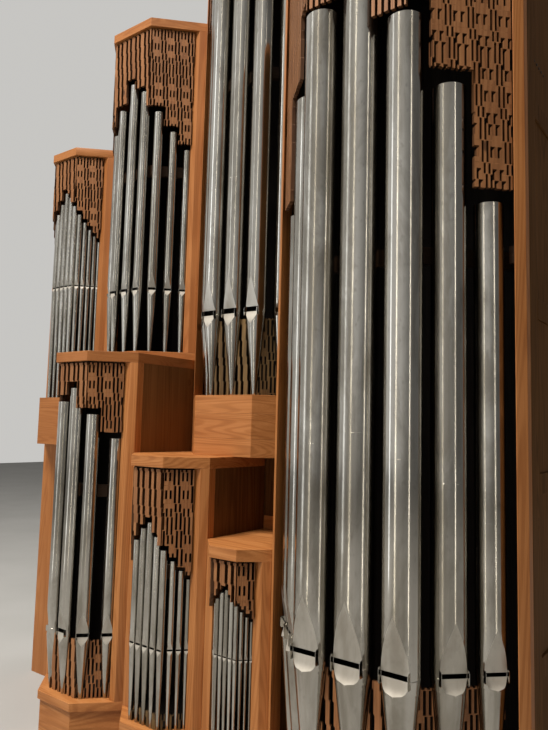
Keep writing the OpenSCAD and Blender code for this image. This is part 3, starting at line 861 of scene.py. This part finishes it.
def shade_steps(t, way, extra=1.0):
    """Depth of the shade's lower edge along the row: one step over each pipe."""
    notes = [0] + t.notes[way]
    arcs = [0.0] + t.row(way)
    steps = []
    start = 0.0
    for k, (note, s) in enumerate(zip(notes, arcs)):
        dia = t.pipe_dia(note)
        clear = 12 * MM + dia * 0.25 * extra
        end = s + dia / 2 + 2 * MM if k < len(arcs) - 1 else FAR
        steps.append((start, end, t.top - (t.mouth + t.pipe_len(note)) - clear))
        start = end
    return steps


def clipped(steps, u0, u1, way, off, rng):
    """The steps between u0 and u1 of a facet, cut into short teeth."""
    spans = []
    for s0, s1, depth in steps:
        a, b = sorted((way * (s0 - off), way * (s1 - off)))
        a, b = max(a, u0), min(b, u1)
        count = max(1, round((b - a) / TOOTH))
        for i in range(count):
            edges = (a + (b - a) * i / count, a + (b - a) * (i + 1) / count)
            if edges[1] > edges[0]:
                spans.append((*edges, depth - rng.uniform(0, 5 * MM)))
    return sorted(spans)


def tower_shade(t, phase, first):
    """The pierced boards under one roof."""
    rng = random.Random(t.name)
    bm = bmesh.new()
    layer = bm.faces.layers.float.new("board")
    backing = bmesh.new()
    backing_layer = backing.faces.layers.float.new("board")
    off = t.half - (t.row_set - SETBACK) * MITRE
    end = t.facet - SETBACK * MITRE - POST_FACE - (POST_LAP if t.cheek == POST_S else 0)
    for way, plane, corner in t.facets(SETBACK):
        place = Matrix.Translation((0, 0, t.top)) @ plane @ Matrix.Translation((0, SHADE_T, 0))
        if way == 0:
            extra = 0.0 if t.near else 1.0
            spans = (clipped(shade_steps(t, -1, extra), -corner + 3 * MM, 0, -1, 0, rng)
                     + clipped(shade_steps(t, 1, extra), 0, corner - 3 * MM, 1, 0, rng))
            pattern = NEAR_LATHS if t.near else LATHS
        else:
            u0, u1 = sorted((way * 3 * MM, way * end))
            spans = clipped(shade_steps(t, way), u0, u1, way, off, rng)
            pattern = (NEAR_SLITS if way > 0 else NEAR_LATHS) if t.near else SLITS
        marks = slit_starts(first, max(s[2] for s in spans))
        openings = pattern.openings(spans[0][0], spans[-1][1], marks, phase)
        # Painted light: the pedal tower's front and right boards get lighter tones than the other
        # shades
        tone = (0.0, 0.5) if t.near and way >= 0 else (0.2, 1.0)
        add_board(bm, layer, place, spans, TOP_GAP, openings, rng, tone)
        if t.near and way > 0:
            inner = [(a, b, depth - 12 * MM) for a, b, depth in spans]
            strips = BACKING.openings(spans[0][0], spans[-1][1], marks, phase)
            add_board(backing, backing_layer, place @ Matrix.Translation((0, 5 * MM, 0)), inner,
                      TOP_GAP, strips, rng)
    piece = thicken(new_object(t.name, mesh_of(bm, t.name)), SHADE_T, shade_carved)
    if t.near:
        strips = thicken(new_object("strips", mesh_of(backing, "strips")), 5 * MM, shade_carved)
        piece = joined(t.name, [piece, strips], shade_carved)
    else:
        backing.free()
    piece.name = t.name + "_carved_shades"
    hand_over(piece, "shade_wood", t.name + "_shades")


# Boards between the feet: share of the feet's height, where low and elsewhere, thickness,
# and the number of an opening that a foot stands in
LOW_FOOT_BOARD = 0.2
HIGH_FOOT_BOARD = 0.93
FOOT_BOARD_T = 10 * MM
FOOT_OPENING = 99


def foot_lattice(t, phase):
    """Pierced boards between the feet, up to the mouths."""
    rng = random.Random(t.name + " feet")
    bm = bmesh.new()
    layer = bm.faces.layers.float.new("board")
    high = t.foot * (LOW_FOOT_BOARD if t.name == "lower_middle" else HIGH_FOOT_BOARD)
    feet = [(s, t.pipe_dia(note)) for note, s in t.pipes()]
    for way, plane, corner in t.facets(t.row_set):
        place = (Matrix.Translation((0, 0, t.floor + high)) @ plane
                 @ Matrix.Translation((0, FOOT_BOARD_T / 2, 0)))
        u0, u1 = -corner, corner
        if way:
            u0, u1 = sorted((0.0, way * (t.side - POST_FACE - 8 * MM)))
        marks = slit_starts(-0.3 * UNIT, high)
        pattern = SLITS if way else LATHS
        openings = pattern.openings(u0, u1, marks, phase)
        for s, dia in feet:
            u = s - way * t.half
            if u0 - dia < u < u1 + dia and (not way or s * way > 0):
                toe = toe_radius(dia)
                wide = [toe + (dia / 2 - toe) * share + 2 * MM for share in (high / t.foot, 0)]
                rows = [(-10 * MM, u - wide[0], u + wide[0]),
                        (high + 10 * MM, u - wide[1], u + wide[1])]
                openings.append((FOOT_OPENING, rows))
        add_board(bm, layer, place, [(u0, u1, high - 1 * MM)], 0.0, openings, rng)
    finish = shade_carved if t.round_lips else foot_carved
    piece = thicken(new_object(t.name, mesh_of(bm, t.name)), FOOT_BOARD_T, finish)
    piece.name = t.name + "_foot_lattice"
    hand_over(piece, "shade_wood")


# Distance of the lining behind the middle of the pipes, with and without boards at the feet
BEHIND_BOARDS = 12 * MM
BEHIND_PIPES = 45 * MM
# Battens behind a shade: one every so far down, and their height
BATTEN_PITCH = 200 * MM
BATTEN_H = 20 * MM


def tower_lining(t):
    """Inside of a tower, seen between its pipes, with the battens that hold its shade: a
    near-black painted shade where no light reaches.
    """
    bm = bmesh.new()
    ends = t.width / 2 - t.cheek - 3 * MM
    front = t.front + t.row_set + (BEHIND_BOARDS if t.lattice else BEHIND_PIPES)
    back = min(t.side_y + t.depth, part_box("back_wall")[0].y - 5 * MM)

    def row_y(x):
        return front + max(0.0, abs(x) - t.half)

    plan = [(x, row_y(x)) for x in (ends, t.half, -t.half, -ends)] + [(-ends, back), (ends, back)]
    levels = [[bm.verts.new((t.middle + x, y, z)) for x, y in plan]
              for z in (t.floor + 2.5 * MM, t.top - 2.5 * MM)]
    bm.faces.new(levels[0])
    bm.faces.new(levels[1][::-1])
    for i in (3, 4, 5):
        j = (i + 1) % 6
        bm.faces.new((levels[0][j], levels[0][i], levels[1][i], levels[1][j]))
    bmesh.ops.recalc_face_normals(bm, faces=bm.faces)
    lining = new_object("lining", mesh_of(bm, "lining"), inner_wood_painted_shade)
    give_wall(lining, 2 * MM, 0)
    bm = bmesh.new()
    depth = t.top - t.mouth - t.longest - 45 * MM
    for way, plane, corner in t.facets(SETBACK + SHADE_T + 0.5 * MM):
        place = Matrix.Translation((0, 0, t.top)) @ plane
        u0, u1 = -corner + 6 * MM, corner - 6 * MM
        if way:
            u0, u1 = sorted((way * 6 * MM, way * (t.facet - 0.1)))
        add_box(bm, (u0, 0, -44 * MM), (u1, 10 * MM, 0), place)
        for v in range(1, 1 + int(depth / BATTEN_PITCH)):
            if not t.near or way == 0:
                high = -BATTEN_PITCH * v
                add_box(bm, (u0, 0, high - BATTEN_H), (u1, 8 * MM, high), place)
    battens = new_object("battens", mesh_of(bm, "battens"))
    # The lining and battens are painted near-black as shade
    hand_over(joined(t.name + "_dark_lining", [lining, battens], inner_wood_painted_shade), "back_wood")


MODELS = mouth_models()
# Where the carving begins, across and down, in the towers where it isn't the same as elsewhere
PHASES = {"pedal": (0.020, -1.0 * UNIT), "upper_middle": (0.010, -0.6 * UNIT)}
for tower in TOWERS:
    tower_pipes(tower)
    phase, first = PHASES.get(tower.name, (0.0, -0.5 * UNIT))
    tower_shade(tower, phase, first)
    if tower.lattice:
        foot_lattice(tower, phase)
    tower_lining(tower)
for model in MODELS:
    bpy.data.objects.remove(model)


# Case boards: the frame's solids with eased edges and open joints

AXES = {"X": Vector((1, 0, 0)), "Y": Vector((0, 1, 0)), "Z": Vector((0, 0, 1))}
# How much the boards of one node differ in tone
TONE_SPREAD = 0.35


def sawn(bm, axis, places, dropped=()):
    """The mesh cut across at some places; every part that is kept is closed again."""
    result = bmesh.new()
    ends = [-FAR] + sorted(places) + [FAR]
    for number, (low, high) in enumerate(zip(ends, ends[1:])):
        if number in dropped:
            continue
        part = bm.copy()
        for at, sides in ((low, {"clear_inner": True}), (high, {"clear_outer": True})):
            bmesh.ops.bisect_plane(part, geom=part.verts[:] + part.edges[:] + part.faces[:],
                                   plane_co=AXES[axis] * at, plane_no=AXES[axis], **sides)
        bmesh.ops.holes_fill(part, edges=[e for e in part.edges if e.is_boundary], sides=0)
        mesh = mesh_of(part, "part")
        result.from_mesh(mesh)
        bpy.data.meshes.remove(mesh)
    bm.free()
    return result


def number_islands(mesh, rng, tone):
    """Each separate board of a mesh gets its own number, the darker the higher."""
    parent = list(range(len(mesh.vertices)))

    def find(i):
        while parent[i] != i:
            parent[i] = parent[parent[i]]
            i = parent[i]
        return i

    for edge in mesh.edges:
        a, b = (find(v) for v in edge.vertices)
        parent[a] = b
    numbers = {}
    layer = mesh.attributes.new("board", "FLOAT", "FACE")
    for face in mesh.polygons:
        root = find(face.vertices[0])
        if root not in numbers:
            numbers[root] = tone + TONE_SPREAD * rng.random()
        layer.data[face.index].value = numbers[root]


def eased(node, material, slot="case_wood", ease=1.6 * MM, cuts=(), tone=0.15):
    """A copy of a node's solid whose edges are slightly rounded, in its place."""
    bm = bmesh.new()
    bm.from_mesh(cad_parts[node].data)
    bmesh.ops.remove_doubles(bm, verts=bm.verts, dist=1e-6)
    bmesh.ops.dissolve_limit(bm, angle_limit=0.01, verts=bm.verts, edges=bm.edges)
    for cut in cuts:
        bm = sawn(bm, *cut)
    piece = new_object(node + "_boards", mesh_of(bm, node), material)
    ease_edges(piece, ease)
    number_islands(piece.data, random.Random(node), tone)
    hand_over(piece, slot, node)


def even_cuts(node, axis, pitch):
    """Places of the joints between boards of about equal width."""
    low, high = (corner["XYZ".index(axis)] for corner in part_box(node))
    count = max(1, round((high - low) / pitch))
    return axis, [low + (high - low) * i / count for i in range(1, count)]


def from_top(node, *depths):
    return "Z", [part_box(node)[1].z - depth for depth in depths]


def slim(name):
    """Cuts that leave a tower's posts only as wide as their cheeks."""
    t = next(t for t in TOWERS if t.name == name)
    return "X", [t.left + t.cheek, t.left + t.width - t.cheek], (1,)


# Each node's tone darkens all its boards: the upper and left nodes get painted shade, as they
# stand in less light; the boards of a node still differ at random
eased("lower_posts", case_upright, tone=0.1)
for node in ("left_side_frame", "left_side_panels", "left_front_panel"):
    eased(node, case_upright, tone=0.5)
eased("pedal_posts", case_upright, cuts=[slim("pedal")], tone=0.2)
eased("upper_posts", case_upright, cuts=[slim("upper_right")], tone=0.9)
# Painted shade: the pedal tower's right side in the darkest copy of the case wood
for node in ("pedal_right_frame", "pedal_right_panels"):
    eased(node, dark_wall_painted_shade)
for node in ("upper_left_roof", "upper_middle_roof", "upper_right_roof", "lower_left_roof",
             "upper_middle_toe_board", "pedal_roof"):
    eased(node, case_level, tone=0.75)
for node in ("plinth", "lower_left_toe_board", "lower_middle_toe_board", "recess_board",
             "lower_right_toe_board", "pedal_toe_board", "lower_middle_roof", "lower_right_roof"):
    eased(node, case_level, tone=0.0)
eased("upper_right_chest", case_level, cuts=[from_top("upper_right_chest", 0.088, 0.205)],
      tone=0.0)
eased("upper_left_chest", case_level, cuts=[from_top("upper_left_chest", 0.062)], tone=0.65)
# Painted shade: the side walls in a darker copy of the case wood
eased("upper_side_walls", side_wall_painted_shade, cuts=[even_cuts("upper_side_walls", "Y", 0.19)])
# Painted shade on the pipe rails
eased("pipe_rails", rail_wood_painted_shade, "back_wood")
eased("back_wall", back_plain, "back_wood", cuts=[even_cuts("back_wall", "X", 0.2)])
# Painted shade: the lower side walls and the pedal tower's left wall in darker copies of the case
# wood
eased("lower_left_side_walls", side_wall_painted_shade, "back_wood", 1.2 * MM,
      [even_cuts("lower_left_side_walls", "Y", 0.17)])
eased("lower_middle_side_wall", dark_wall_painted_shade, "back_wood", 1.2 * MM,
      [even_cuts("lower_middle_side_wall", "Y", 0.17)])
eased("pedal_left_wall", dark_wall_painted_shade, "back_wood")


def recess_boards():
    """Three upright boards that close the recess over its low board."""
    low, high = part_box("recess_board")
    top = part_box("upper_right_chest")[0].z
    bm = bmesh.new()
    count = 3
    seam = 0.6 * MM
    inset = 3 * MM
    pitch = (high.x - low.x) / count
    for i in range(count):
        add_box(bm, (low.x + pitch * i + seam, low.y + inset, high.z),
                (low.x + pitch * (i + 1) - seam, high.y - inset, top - 1 * MM))
    # Painted shade: the recess boards in the darkest copy of the case wood
    piece = new_object("recess_back_boards", mesh_of(bm, "recess"), dark_wall_painted_shade)
    ease_edges(piece, 1.5 * MM)
    number_islands(piece.data, random.Random(5), 0.6)
    hand_over(piece, "back_wood")


# Pegs: place of the first from front to back, and their pitch, in metres
PEG_START = -0.283
PEG_PITCH = 0.031


def peg_row(height, count, size):
    """Dark pegs in a level row on the front panels of the pedal tower's side."""
    bm = bmesh.new()
    bmesh.ops.create_cone(bm, cap_ends=True, segments=12, radius1=1, radius2=0.75, depth=1)
    model = new_object("peg", mesh_of(bm, "peg"))
    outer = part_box("pedal_right_panels")[1].x
    turn = Matrix.Rotation(math.radians(90), 4, "Y")
    places = [(outer + 1 * MM, PEG_START + PEG_PITCH * i, height) for i in range(count)]
    spots = [(Matrix.Translation(place) @ turn, (size, size, 4 * MM)) for place in places]
    piece = repeat("side_pegs_%d" % round(height * 1000), model, spots, peg_dark)
    bpy.data.objects.remove(model)
    hand_over(piece, "case_wood")


recess_boards()
peg_row(2.94, 5, 5.5 * MM)
peg_row(2.04, 4, 4 * MM)


# Floor, light and camera

def set_stage():
    bpy.ops.mesh.primitive_plane_add(size=40, location=(0, 0, 0))
    floor = bpy.context.object
    floor.name = "floor"
    paint = Finish("pale floor")
    grain = paint.noise((1, 1, 1), 1.2, 2)
    paint.finish(paint.ramp(grain, [(0.3, (0.40, 0.395, 0.38)), (0.7, (0.44, 0.435, 0.42))]), 0.75)
    floor.data.materials.append(paint.material)


def add_lamp(name, place, aim, size, power, colour=(1, 1, 1), mirrored=True):
    """Area lamp turned to a point; one that is not mirrored leaves the pipes as they are."""
    light = bpy.data.lights.new(name, "AREA")
    light.shape = "RECTANGLE"
    light.size, light.size_y = size
    light.energy = power
    light.color = colour
    lamp = bpy.data.objects.new(name, light)
    lamp.location = place
    lamp.rotation_euler = (Vector(aim) - lamp.location).to_track_quat("-Z", "Y").to_euler()
    lamp.visible_glossy = mirrored
    bpy.context.scene.collection.objects.link(lamp)


def set_world():
    """Soft light, less of it from the right; the metal sees a room that darkens behind it."""
    world = bpy.data.worlds.new("studio")
    bpy.context.scene.world = world
    world.use_nodes = True
    tree = Tree(world.node_tree)
    toward = tree.add("ShaderNodeTexCoord", output="Generated")
    right = tree.add("ShaderNodeSeparateXYZ", {}, {"Vector": toward}, "X")
    back = tree.add("ShaderNodeSeparateXYZ", {}, {"Vector": toward}, "Y")
    to_eye, to_metal, to_glass = [tree.add("ShaderNodeLightPath", output=kind) for kind in
                                  ("Is Camera Ray", "Is Glossy Ray", "Is Transmission Ray")]
    mirrored = (right * 0.8 + back * 0.6).between(-0.7, 0.8, 0.68, 0.15)
    backdrop = to_eye * 0.57 + (1 - to_eye) * mirrored
    soft = tree.add("ShaderNodeBackground", {}, {"Color": (1.0, 0.96, 0.90, 1),
                                                 "Strength": right.between(-0.5, 0.9, 0.15, 0.06)})
    shown = tree.add("ShaderNodeBackground", {}, {"Color": (1.0, 0.985, 0.95, 1),
                                                  "Strength": backdrop})
    seen = to_eye.maths("MAXIMUM", to_metal).maths("MAXIMUM", to_glass)
    mixed = tree.add("ShaderNodeMixShader", {}, {0: seen, 1: soft, 2: shown})
    tree.put(mixed, world.node_tree.nodes["World Output"].inputs["Surface"])


def set_camera():
    lens = bpy.data.cameras.new("camera")
    lens.sensor_fit = "VERTICAL"
    lens.sensor_height = SENSOR
    lens.lens = FOCAL_PX / PHOTO_H * SENSOR
    camera = bpy.data.objects.new("camera", lens)
    ahead = Vector((-math.sin(EYE_YAW) * math.cos(EYE_PITCH),
                    math.cos(EYE_YAW) * math.cos(EYE_PITCH), math.sin(EYE_PITCH)))
    level = Vector((math.cos(EYE_YAW), math.sin(EYE_YAW), 0))
    down = ahead.cross(level)
    right = level * math.cos(EYE_ROLL) + down * math.sin(EYE_ROLL)
    down = down * math.cos(EYE_ROLL) - level * math.sin(EYE_ROLL)
    turn = Matrix((right, -down, -ahead)).transposed().to_4x4()
    camera.matrix_world = Matrix.Translation(EYE) @ turn
    bpy.context.scene.collection.objects.link(camera)
    bpy.context.scene.camera = camera


set_stage()
set_world()
add_lamp("high window light", (-0.9, -5.2, 11.5), (0, -0.3, 1.6), (3.0, 3.0), 1750,
         (1, 0.96, 0.90))
add_lamp("soft light, left", (-4.3, -4.8, 3.0), (0, 0, 1.4), (2.0, 4.0), 36, (1, 0.97, 0.92),
         mirrored=False)
add_lamp("soft light, behind", (0.5, 6.5, 4.5), (0, 0.7, 1.8), (4.0, 3.0), 170, (1, 0.97, 0.92),
         mirrored=False)
add_lamp("strip light, left", (-1.6, -2.9, 3.0), (0.3, -0.4, 3.0), (0.34, 5.4), 15,
         (0.92, 0.96, 1))
add_lamp("strip light, middle", (0.8, -2.9, 3.0), (0.8, -0.4, 3.0), (0.07, 5.4), 7.5,
         (1, 0.93, 0.78))
add_lamp("strip light, right", (3.3, -1.6, 3.0), (0.8, -0.4, 3.0), (0.07, 5.4), 7.5,
         (1, 0.93, 0.80))
set_camera()
bpy.context.scene.view_settings.view_transform = "Standard"
